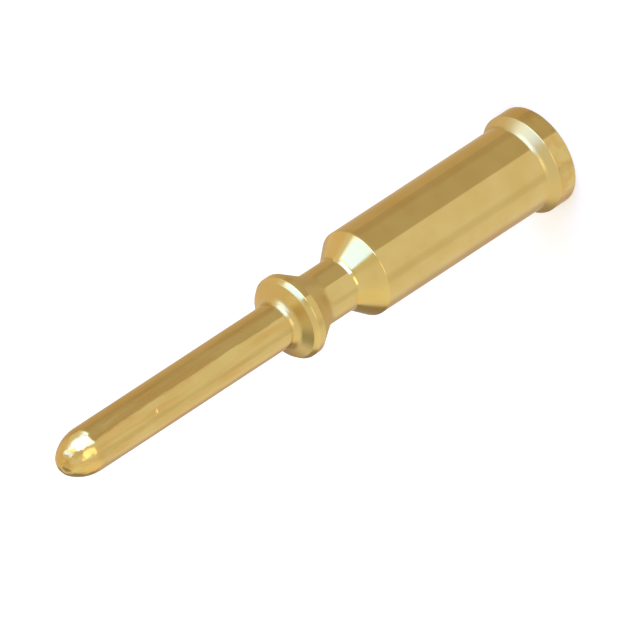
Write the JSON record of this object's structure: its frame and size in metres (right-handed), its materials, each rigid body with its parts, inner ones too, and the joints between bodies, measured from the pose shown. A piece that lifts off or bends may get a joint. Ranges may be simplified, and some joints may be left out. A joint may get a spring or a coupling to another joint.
{
  "type": "crimp pin contact",
  "caption": "Turned, gold-plated pin contact with a bullet nose, a collar and neck for its retention clip, and a flanged crimp barrel.",
  "frame": {"origin": "centre of the rear face, on the surface that the contact stands on", "axes": "+Z along the contact's axis, from the rear face to the pin's nose. The inspection hole faces +Y."},
  "size_m": [0.0034, 0.0034, 0.0218],
  "materials": {
    "gold_plating": "bright gold plating over turned brass, with faint turning marks and a few fine scuffs"
  },
  "bodies": {
    "root": {"turned_contact": "gold_plating"}
  },
  "joints": []
}
